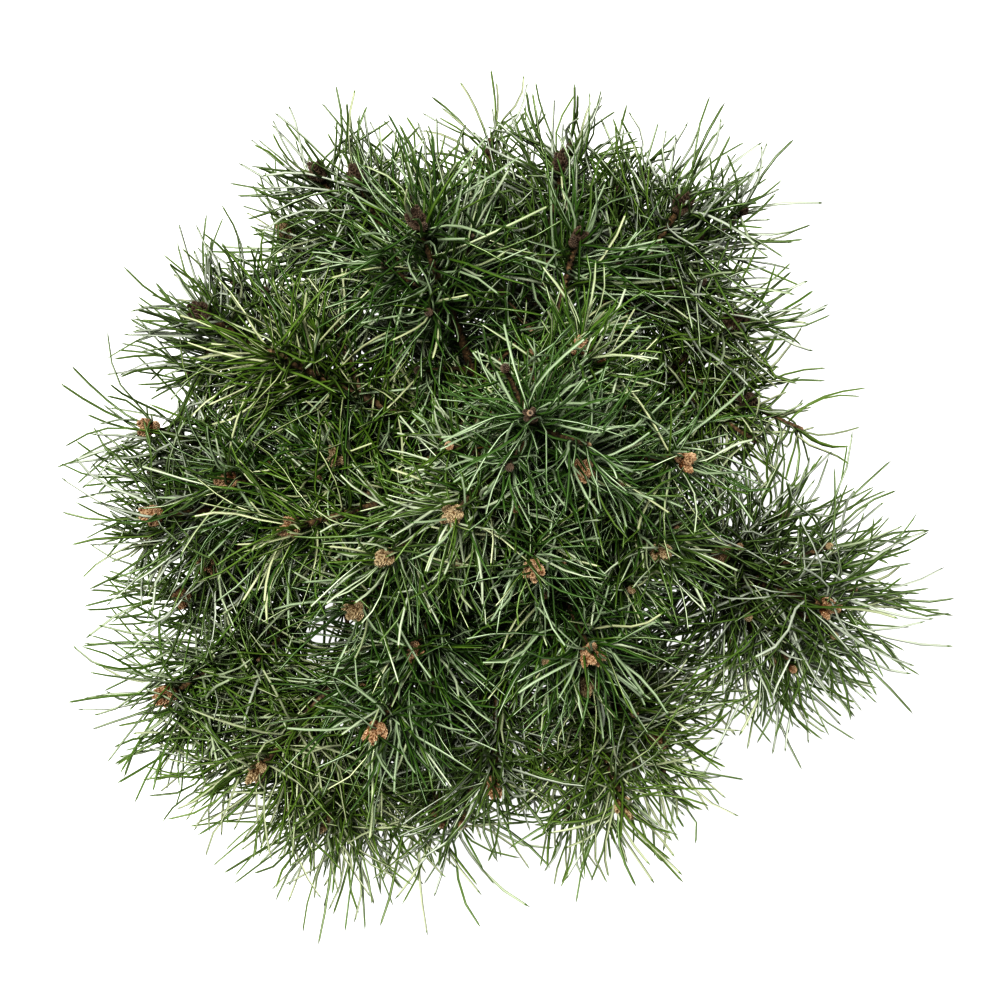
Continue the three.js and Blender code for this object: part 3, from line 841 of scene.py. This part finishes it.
def trunk_radius(height):
    above = height - trunk_foot_height
    share = above / (TRUNK_TOP_HEIGHT - trunk_foot_height)
    flare = TRUNK_FLARE * np.exp(-above / TRUNK_FLARE_HEIGHT)
    return TRUNK_BASE_RADIUS + (TRUNK_TOP_RADIUS - TRUNK_BASE_RADIUS) * share + flare


def shoot_line(foot, tip, leaves=None):
    """A line from a limb to a shoot's tip: it leaves flat and turns up at the end."""
    out = (tip - foot) * (1, 1, 0)
    reach = np.linalg.norm(out)
    out = out / reach
    tilt = math.radians(SHOOT_TILT + SHOOT_TILT_PER_REACH * reach)
    heading = out * math.sin(tilt) + UP * math.cos(tilt)
    bend = 0.34 * np.linalg.norm(tip - foot)
    first = foot + 0.4 * reach * out + 0.1 * reach * UP if leaves is None else foot + leaves * bend
    share = np.linspace(0, 1, 201)[:, None]
    rest = 1 - share
    points = rest**3 * foot + 3 * rest**2 * share * first
    points = points + 3 * rest * share**2 * (tip - heading * bend) + share**3 * tip
    return Line(points)


@dataclass
class Shoot:
    """A line that bears needles."""

    branch: str
    line: Line
    rank: int  # 0 for a shoot of the solid model, 1 for a finer twig, 2 for an inner one
    back: tuple  # the distances from the tip between which the needles stand
    vigour: float = 1.0
    density: float = 1.0


def plan_branches():
    """The boughs and the shoots of the solid model, by its own rule and draws."""
    boughs, shoots = {}, []
    for index, (name, foot, tip, sides) in enumerate(BRANCHES):
        draw = seeded(SEED + 97 * index)
        whole = shoot_line(trunk_at(foot), polar(*tip))
        start = 0
        if whole.length > 1.25 * FOLIAGE_LENGTH:
            start = whole.length - FOLIAGE_LENGTH
            boughs[name] = whole.part(0, start)
        stem = whole.part(start, whole.length)
        shoots.append(Shoot(name, stem, 0, (1.5, stem.length - 4)))
        for count, (turn, reach, height) in enumerate(sides):
            fork = (0.06 + 0.16 * draw() + 0.12 * count) * stem.length
            root = stem.at(fork)
            side_tip = polar(tip[0] + turn, reach, height)
            along = stem.heading(fork)
            aside = unit(square_to(along, side_tip - root))
            line = shoot_line(root, side_tip, unit(along + aside))
            shoots.append(Shoot(name, line, 0, (1.5, line.length - 6), SIDE_SHOOT_SHARE))
    leader = Line(trunk_at(np.linspace(TRUNK_TOP_HEIGHT, leader_tip[2], 40)))
    shoots.append(Shoot("leader", leader, 0, (7, leader.length)))
    return boughs, shoots


def year_twigs(rng, shoots):
    """Side twigs at the node where each shoot's last year began."""
    twigs = []
    for shoot in shoots:
        line = shoot.line
        node = max(line.length - YEAR_LENGTH, 0.25 * line.length)
        start = rng.uniform(0, math.tau)
        for k in range(3):
            root_at = node + rng.uniform(-5, 7)
            root, axis = line.at(root_at), line.heading(root_at)
            out = turned_about(axis, start + math.tau / 3 * k + rng.uniform(-0.4, 0.4))
            tip = root + axis * rng.uniform(26, 44) + out * rng.uniform(24, 38) + UP * 8
            if tip[2] <= line.points[-1][2] - 16:
                twig = shoot_line(root, tip, unit(0.8 * axis + out))
                twigs.append(Shoot(shoot.branch, twig, 1, (1, twig.length - 3), *YEAR_TWIG_GROWTH))
    return twigs


def inner_twigs(rng, boughs):
    """Short twigs along the boughs, to either side in turn."""
    twigs = []
    for name, bough in boughs.items():
        for k, share in enumerate(np.arange(0.42, 0.98, 0.17)):
            root, axis = bough.at(share * bough.length), bough.heading(share * bough.length)
            side = (-1) ** k * rng.uniform(0.5, 1.0)
            out = unit(unit(np.cross(axis, UP)) * side + UP * rng.uniform(0.5, 1.1))
            tip = root + axis * rng.uniform(14, 30) + out * rng.uniform(34, 52)
            twig = shoot_line(root, tip, unit(axis + out))
            twigs.append(Shoot(name, twig, 2, (1, twig.length - 8), *INNER_TWIG_GROWTH))
    return twigs


def edge_twigs(shoots):
    leading = {}
    for shoot in shoots:
        leading.setdefault(shoot.branch, shoot.line)
    twigs = []
    for name, rows in EDGE_TWIGS:
        line = leading[name]
        for share, *tip in rows:
            root, axis = line.at(share * line.length), line.heading(share * line.length)
            aside = unit(square_to(axis, polar(*tip) - root))
            twig = shoot_line(root, polar(*tip), unit(axis + aside))
            twigs.append(Shoot(name, twig, 1, (1, twig.length - 3), *EDGE_TWIG_GROWTH))
    return twigs


def finer_twigs(shoots, boughs):
    rng = np.random.default_rng(SEED + 1)
    return year_twigs(rng, shoots) + inner_twigs(rng, boughs) + edge_twigs(shoots)


# Wood


def tubes(name, limbs, sides):
    """One mesh of round limbs from their points and radii, with closed ends."""
    curve = bpy.data.curves.new(name, "CURVE")
    curve.dimensions = "3D"
    curve.bevel_depth = 1
    curve.bevel_resolution = (sides - 4) // 2
    curve.use_fill_caps = True
    for points, radii in limbs:
        spline = curve.splines.new("POLY")
        spline.points.add(len(points) - 1)
        rows = np.column_stack([points * MM, np.ones(len(points))])
        spline.points.foreach_set("co", rows.ravel())
        spline.points.foreach_set("radius", np.asarray(radii) * MM)
    piece = bpy.data.objects.new(name, curve)
    bpy.context.scene.collection.objects.link(piece)
    activate(piece)
    bpy.ops.object.convert(target="MESH")
    return bpy.context.object


def trunk_limb():
    """The trunk's points and radii, swollen at each foot of a bough."""
    heights = np.linspace(COMPOST_LEVEL - 5, TRUNK_TOP_HEIGHT, 300)
    radii = trunk_radius(np.maximum(heights, trunk_foot_height))
    for foot in FEET.values():
        radii = radii + 0.7 * np.exp(-(((heights - foot) / 6) ** 2))
    return trunk_at(heights), radii


def bough_limb(foot, line):
    """A bough's points and radii, with the collar that it has at the trunk."""
    along = np.linspace(0, line.length, int(line.length / 2))
    radii = BOUGH_FOOT_RADIUS + (TWIG_ROOT_RADIUS - BOUGH_FOOT_RADIUS) * along / line.length
    past_trunk = np.maximum(along - trunk_radius(foot), 0)
    return line.at(along), radii + COLLAR * np.exp(-past_trunk / 6)


def make_wood(boughs):
    limbs = [trunk_limb()] + [bough_limb(FEET[name], line) for name, line in boughs.items()]
    wood = tubes("wood", limbs, 12)
    apply_modifier(wood, "REMESH", mode="VOXEL", voxel_size=WOOD_VOXEL * MM)
    apply_modifier(wood, "SMOOTH", factor=0.5, iterations=2)
    # Plates of bark, then burrs
    displace(wood, "VORONOI", 5.2, 1.5, middle=0.45, weights=(-1, 1))
    displace(wood, "CLOUDS", 9, 1.4)
    wood.data.shade_smooth()
    replaced = ["trunk"] + [f"bough_{name}" for name in boughs]
    dress(wood, "trunk_and_boughs", [bark_material()], replaced)


def make_twigs(shoots):
    limbs = []
    for shoot in shoots:
        line = shoot.line
        root_radius, tip_radius = TWIG_RADII[shoot.rank]
        along = np.linspace(0, line.length, int(line.length / 2.4))
        radii = root_radius + (tip_radius - root_radius) * (along / line.length)
        if shoot.rank == 0:
            year = line.length - YEAR_LENGTH
            radii = radii + 0.9 * np.exp(-(((along - year) / 3) ** 2))
        limbs.append((line.at(along), radii * (1 + 0.07 * np.sin(along * 2.1))))
    twigs = tubes("twigs", limbs, 8)
    # The cushions that the needles stood on
    displace(twigs, "VORONOI", 2.6, -0.8)
    twigs.data.shade_smooth()
    dress(twigs, "twigs", [twig_material()])


# Needles

# The greens of a spray's needles, each with its rounded back and its flat bloomed face
GREENS = [
    ("needle_grey_green", "#3d4b28", "#777c71"),
    ("needle_olive_green", "#445426", "#777c66"),
    ("needle_dull_green", "#3e5024", "#717965"),
    ("needle_deep_green", "#2d411a", "#66715c"),
    ("needle_leaf_green", "#3a4d1e", "#727961"),
    ("needle_fresh_green", "#3a4a21", "#777e6c"),
    ("needle_yellow_green", "#405120", "#7d8168"),
]
OUTER_GREENS = (0, 1, 2)  # of the whorls below UPPER_WHORLS
INNER_GREENS = (3, 4, 5, 6)
UPPER_WHORLS = 400
BROWN = ("needle_spent_brown", "#5c4830", "#725f44")


def needle_form():
    """A straight needle, 1 long, with a rounded back, a flat face at -Y and a short tip."""
    sections = [(0.7, 0), (1.0, 0.16), (1.0, 0.38), (1.0, 0.6), (0.95, 0.8), (0.8, 0.96), (0.1, 1)]
    needle = draw_up(3, sections)
    bpy.ops.mesh.merge(type="CENTER")
    close_mesh()
    for face in needle.data.polygons:
        face.material_index = int(face.normal.y < -0.5)
    return form_of(needle)


def bent_needles(form, roots, headings, backs, lengths, bends, swerves, twists, widths):
    """Each needle's corners: the form set at its root, turned, and bent to a bow and an S."""
    corners = form[0]
    rise = corners[:, 2][None, :, None]
    wave = math.tau * rise
    centres = headings[:, None] * rise + bends[:, None] * rise**2 + swerves[:, None] * np.sin(wave)
    centres = roots[:, None] + lengths[:, None, None] * centres
    slopes = 2 * bends[:, None] * rise + math.tau * swerves[:, None] * np.cos(wave)
    axes = unit(headings[:, None] + slopes)
    outwards = unit(square_to(axes, backs[:, None]))
    sideways = np.cross(axes, outwards)
    turn = twists[:, None, None] * rise
    wide = np.cos(turn) * sideways + np.sin(turn) * outwards
    deep = np.cos(turn) * outwards - np.sin(turn) * sideways
    # The form is 2 * 0.87 wide and 1.5 deep
    x = (corners[:, 0] * 0.5 / 0.87)[None, :, None] * widths[:, None, None]
    y = (corners[:, 1] / 1.5)[None, :, None] * widths[:, None, None] * NEEDLE_DEPTH / NEEDLE_WIDTH
    return centres + wide * x + deep * y


def wisps(points, seed):
    """A push for each point that changes slowly from place to place, so neighbours lean alike."""
    rng = np.random.default_rng(seed)
    waves = unit(rng.normal(0, 1, (WISP_WAVES, 3))) * (math.tau / TUFT_WIDTH)
    waves = waves * rng.uniform(0.6, 1.5, (WISP_WAVES, 1))
    pushes = unit(rng.normal(0, 1, (WISP_WAVES, 3))) / 3
    return np.sin(points @ waves.T + rng.uniform(0, math.tau, WISP_WAVES)) @ pushes


def needle_growth(shoot):
    """The needles' length, width, number on a millimetre and wildness, as shares of the usual.

    Shoots that stand out far have longer, wider and fewer needles than those at the crown's top,
    and theirs lie combed together.
    """
    reach = math.hypot(*shoot.line.points[-1][:2])
    reaches = [30, 110, 190, 260]
    long = np.interp(reach, reaches, [0.8, 0.91, 1.06, 1.13])
    wide = np.interp(reach, reaches, [0.88, 0.93, 0.96, 0.96])
    crowded = np.interp(reach, reaches, [1.12, 1.08, 1.02, 1.0])
    wild = np.interp(reach, [30, 60, 110, 190, 260], [1.4, 1.2, 0.8, 0.6, 0.5])
    branch_long, branch_crowded = GROWTH.get(shoot.branch, (1, 1))
    return long * branch_long * shoot.vigour, wide, crowded * branch_crowded * shoot.density, wild


def greens_of(branch):
    """The greens that a branch's needles may have."""
    if branch == "leader":
        return INNER_GREENS[:1]
    return OUTER_GREENS if FEET[branch] < UPPER_WHORLS else INNER_GREENS


def pair_places(shoot, rng, back, wild):
    """Where each pair on a shoot starts and heads, the way it opens, and the curl it shares."""
    upright = float(shoot.branch == "leader")
    count = len(back)
    along = shoot.line.length - back
    axes = shoot.line.heading(along)
    out = turned_about(axes, GOLDEN_ANGLE * np.arange(count) + rng.normal(0, 0.6, count))
    lean = np.interp(back, [0, 5, 18, 60, 150], [22, 34, 46, 54, 60]) * (1 - 0.35 * upright)
    lean = lean + rng.normal(0, 22 * min(wild, 1), count)
    lean = np.radians(np.clip(lean, 6, 108))[:, None]
    pair = unit(axes * np.cos(lean) + out * np.sin(lean) + UP * 0.12)
    roots = shoot.line.at(along) + out * 1.3
    astray = rng.normal(0, 0.16 * wild, (count, 3))
    pair = unit(pair + (0.9 + 0.5 * upright) * wisps(roots + 30 * pair, SEED + 5) + astray)
    curl = 0.75 * wisps(roots + 60 * pair, SEED + 6) + 0.08 * axes + 0.5 * upright * out
    return roots, pair, unit(np.cross(axes, pair)), curl


def needle_tints(branch, rng, back, green):
    """Most needles have the branch's own green, and a few old ones are brown."""
    others = rng.choice(greens_of(branch), len(back))
    tints = np.where(rng.random(len(back)) < OWN_GREEN_SHARE, green, others)
    spent = rng.random(len(back)) < BROWN_SHARE * (back > BROWN_BACK)
    return np.where(spent, len(GREENS), tints)


def needle_pairs(shoot, rng, green):
    """What bent_needles takes for the needles on one shoot, and their tints."""
    near, far = shoot.back
    long, wide, crowded, wild = needle_growth(shoot)
    count = int((far - near) * NEEDLE_DENSITY * crowded)
    back = near + (far - near) * (np.arange(count) + rng.uniform(0, 1, count)) / count
    roots, pair, apart, shared_curl = pair_places(shoot, rng, back, wild)
    spread = np.radians(rng.uniform(4, 16, count))[:, None]
    length = NEEDLE_LENGTH * long * np.clip(rng.normal(1.0, 0.12, count), 0.7, 1.16)
    length = length * np.interp(back, [0, 12, 40, 100, 150], [0.78, 0.92, 1.03, 1.0, 0.9])
    tints = needle_tints(shoot.branch, rng, back, green)
    rows = []
    for side in (1, -1):
        headings = unit(pair + side * np.tan(spread) * apart)
        curl = shared_curl + rng.standard_t(5, (count, 3)) * 0.36 * wild + side * 0.05 * apart
        bends = square_to(headings, curl)
        bow = np.linalg.norm(bends, axis=-1)
        bends = bends / np.maximum(1, bow / MOST_BOW)[:, None]
        swerves = square_to(headings, rng.normal(0, 0.03, (count, 3)))
        lengths = length * rng.normal(1, 0.03, count) / (1 + 0.5 * np.minimum(bow, MOST_BOW) ** 2)
        twists = rng.uniform(0.5, 2.1, count) * rng.choice([-1, 1], count)
        widths = NEEDLE_WIDTH * wide * rng.uniform(0.85, 1.1, count)
        rows.append((roots, headings, side * apart, lengths, bends, swerves, twists, widths, tints))
    return [np.concatenate(parts) for parts in zip(*rows)]


def keep_inside(roots, headings, bends, lengths):
    """The share of each needle that stays in the model's reach, or 0 where too little would."""
    low = np.array(cad_low) / MM - REACH_MARGIN
    high = np.array(cad_high) / MM + REACH_MARGIN
    ends = (headings + bends) * lengths[:, None]
    room = np.where(ends > 0, high - roots, low - roots)
    share = np.min(np.where(np.abs(ends) > 1, room / ends, 9), axis=1)
    return np.minimum(share, 1) * (share > LEAST_SHARE)


def clear_of_trunk(roots, headings, lengths):
    """True for needles that don't run through the trunk."""
    clear = np.ones(len(roots), bool)
    for share in (0.25, 0.45, 0.65, 0.85):
        points = roots + headings * (lengths * share)[:, None]
        height = np.clip(points[:, 2], trunk_foot_height, TRUNK_TOP_HEIGHT)
        gap = np.linalg.norm((points - trunk_at(height))[:, :2], axis=1)
        clear &= gap > trunk_radius(height) + 0.5
    return clear


def clear_of_openings(rng, roots, headings, lengths, bends):
    """True for needles that leave openings and hollows free, seen from the camera's height."""
    eye = np.array(CAMERA_PLACE) / MM
    clear = np.ones(len(roots), bool)
    places = [(x, y, radius, 0, OPENING_HEIGHT) for x, y, radius in OPENINGS]
    places += [(*hollow, HOLLOW_HEIGHT) for hollow in HOLLOWS]
    for x, y, radius, bottom, height in places:
        free = radius * rng.uniform(0.3, 1.2, len(roots))
        for share in (0.2, 0.4, 0.6, 0.8, 1.0):
            points = roots + (headings * share + bends * share**2) * lengths[:, None]
            sight = (eye[2] - height) / (eye[2] - points[:, 2])
            seen = eye[:2] + (points[:, :2] - eye[:2]) * sight[:, None]
            away = np.hypot(seen[:, 0] - x, seen[:, 1] - y) > free
            clear &= away | (points[:, 2] < bottom)
    return clear


def needle_materials(colours):
    """A material for the back and one for the flat face of each colour."""
    materials = []
    for name, back, face in colours:
        materials.append(needle_material(name, back, 0.4))
        materials.append(needle_material(f"{name}_face", face, 0.48))
    return materials


def grow_needles(form, shoot, rng, green):
    """The corners and tints of a shoot's needles, without those that are in the way."""
    parts = needle_pairs(shoot, rng, green)
    roots, headings, backs, lengths, bends, swerves, twists, widths, tints = parts
    share = keep_inside(roots, headings, bends, lengths)
    kept = (share > 0) & clear_of_trunk(roots, headings, lengths)
    kept &= clear_of_openings(rng, roots, headings, lengths, bends)
    parts = (roots, headings, backs, lengths * share, bends, swerves, twists, widths)
    return bent_needles(form, *(part[kept] for part in parts)), tints[kept]


def make_needles(shoots):
    form = needle_form()
    materials = needle_materials(GREENS + [BROWN])
    dealt = np.random.default_rng(SEED + 2)
    for region, branches in REGIONS.items():
        greens = {branch: int(dealt.choice(greens_of(branch))) for branch in branches}
        sprays = []
        for number, shoot in enumerate(shoots):
            if shoot.branch in branches:
                rng = np.random.default_rng((SEED, number))
                sprays.append(grow_needles(form, shoot, rng, greens[shoot.branch]))
        copies, tints = [np.concatenate(parts) for parts in zip(*sprays)]
        needles = joined(copies, form[1], 2 * tints[:, None] + form[2][None])
        replaced = [f"foliage_{branch}" for branch in branches]
        dress(needles, f"needles_{region}", materials, replaced)


def make_fallen_needles(bed):
    """Spent brown pairs that lie on the compost."""
    form = needle_form()
    rng = np.random.default_rng(SEED + 3)
    xs, ys = spread_over_bed(rng, FALLEN_PAIRS, 22)
    turn = rng.uniform(0, math.tau, FALLEN_PAIRS)
    rise = rng.normal(0.02, 0.05, FALLEN_PAIRS)
    headings = np.stack([np.cos(turn), np.sin(turn), rise], axis=-1)
    lengths = NEEDLE_LENGTH * rng.uniform(0.6, 0.95, FALLEN_PAIRS)
    reach = np.hypot(xs + headings[:, 0] * lengths, ys + headings[:, 1] * lengths)
    kept = reach < COMPOST_RADIUS - 4
    xs, ys, headings, lengths = xs[kept], ys[kept], unit(headings[kept]), lengths[kept]
    roots = np.array([(x, y, surface_under(bed, x, y) + 2.2) for x, y in zip(xs, ys)])
    level = unit(np.cross(headings, UP))
    rows = []
    for side in (1, -1):
        leaning = unit(headings + side * 0.07 * level)
        bends = side * 0.03 * level + rng.normal(0, 0.05, (len(roots), 3)) * (1, 1, 0.1)
        twists = rng.uniform(0.2, 1.0, len(roots))
        widths = np.full(len(roots), FALLEN_WIDTH)
        swerves = square_to(leaning, rng.normal(0, 0.01, (len(roots), 3)) * (1, 1, 0))
        shape = (leaning, side * level, lengths, bends, swerves, twists, widths)
        rows.append(bent_needles(form, roots, *shape))
    needles = joined(np.concatenate(rows), form[1], form[2][None])
    dress(needles, "fallen_needles", needle_materials([BROWN]))


# Winter buds

# The shades of a bud's scales: dark to light on their backs, and their papery fringe
BUD_SHADES = {
    "fox_red": (["#3d1e0c", "#5c4026", "#715b43"], "#84715c"),
    "straw": (["#33200d", "#5a4830", "#6f6048"], "#827660"),
    # dark: the back branches' own dark red-brown, with its darkest tones also painted shade for the
    # leader's bud in its hollow
    "dark": (["#160c07", "#281b11", "#382b1c"], "#463b30"),
    "yellow": (["#2f2b12", "#474022", "#5d5535"], "#6b6448"),
}


def bud_form(around, rows):
    """A pointed bud, 1 long and 1 in radius, whose scales lift off in a spiral."""
    outline = [(0.42, 0), (0.82, 0.12), (1.0, 0.3), (0.93, 0.46), (0.7, 0.64), (0.4, 0.82), (0.04, 1)]
    places = np.linspace(0, 1, rows + 1)
    radii = np.interp(places, [z for _, z in outline], [r for r, _ in outline])
    bud = draw_up(around, list(zip(radii, places)), math.pi / around)
    bpy.ops.mesh.select_mode(type="FACE")
    close_mesh()
    for face in bud.data.polygons:
        face.select = len(face.vertices) == 4
    edit_mesh()
    bpy.ops.mesh.poke(offset=0)
    leave_mesh()
    lift_scales(bud, around * (rows + 1))
    open_mesh()
    close_mesh()
    for face in bud.data.polygons:
        face.material_index = int(face.normal.z > 0.3)
    return form_of(bud)


def lift_scales(bud, ring_corners):
    """Moves the middle of each scale out and towards the tip."""
    for vertex in bud.data.vertices[ring_corners:]:
        reach = math.hypot(vertex.co.x, vertex.co.y)
        share = 1 + 0.2 * MM / max(reach, 0.2 * MM)
        vertex.co = (vertex.co.x * share, vertex.co.y * share, vertex.co.z + 0.1 * MM)


def bud_places(shoot, rng):
    """Each bud on a shoot's tip: its root, heading, length and radius."""
    tip, axis = shoot.line.points[-1], shoot.line.heading(shoot.line.length)
    if shoot.rank:
        size = rng.uniform(0.42, 0.58)
        return [(tip - axis, axis, BUD_LENGTH * size, BUD_RADIUS * (size + 0.12))]
    whole = SUNK_BUDS.get(shoot.branch, 1)
    tip = tip - 20 * (1 - whole) * axis
    length, radius = BUD_LENGTH * whole, BUD_RADIUS * whole
    places = [(tip - 2 * axis, axis, length * rng.uniform(0.95, 1.2), radius)]
    count = int(rng.integers(3, 6))
    start = rng.uniform(0, math.tau)
    for k in range(count):
        out = turned_about(axis, start + math.tau * k / count + rng.uniform(-0.3, 0.3))
        lean = math.radians(rng.uniform(14, 32))
        heading = axis * math.cos(lean) + out * math.sin(lean)
        size = rng.uniform(0.6, 0.88)
        root = tip + out * 1.5 - 3 * axis
        places.append((root, heading, length * size, radius * (0.35 + 0.55 * size)))
    return places


def make_buds(shoots):
    rng = np.random.default_rng(SEED + 4)
    form = bud_form(9, 8)
    copies, kinds = [], []
    for shoot in shoots:
        if shoot.rank and rng.random() < BUDLESS_SHARE:
            continue
        kind = "straw" if rng.random() < STRAW_SHARE else "fox_red"
        if shoot.branch in DARK_BUDDED:
            kind = "dark"
        if shoot.branch in YELLOW_BUDDED:
            kind = "yellow"
        for root, heading, length, radius in bud_places(shoot, rng):
            wide = turned_about(heading, rng.uniform(0, math.tau))
            deep = np.cross(heading, wide)
            turned = np.stack([wide * radius, deep * radius, heading * length])
            copies.append(form[0] @ turned + root)
            kinds.append(list(BUD_SHADES).index(kind))
    finishes = 2 * np.array(kinds)[:, None] + form[2][None]
    buds = joined(np.array(copies), form[1], finishes)
    smooth_by_angle(buds, 24)
    materials = []
    for name, (scale, fringe) in BUD_SHADES.items():
        materials.append(bud_material(f"resinous_bud_scale_{name}", scale, 0.55))
        fringes = [scale[1], fringe, fringe]
        materials.append(bud_material(f"papery_bud_fringe_{name}", fringes, 0.7))
    dress(buds, "winter_buds", materials)


# Assembly

add_camera()
add_studio()
make_pot()
bed = make_compost()
make_chips(bed)
boughs, shoots = plan_branches()
twigs = finer_twigs(shoots, boughs)
make_wood(boughs)
make_twigs(shoots + twigs)
make_needles(shoots + twigs)
make_fallen_needles(bed)
make_buds(shoots + twigs)
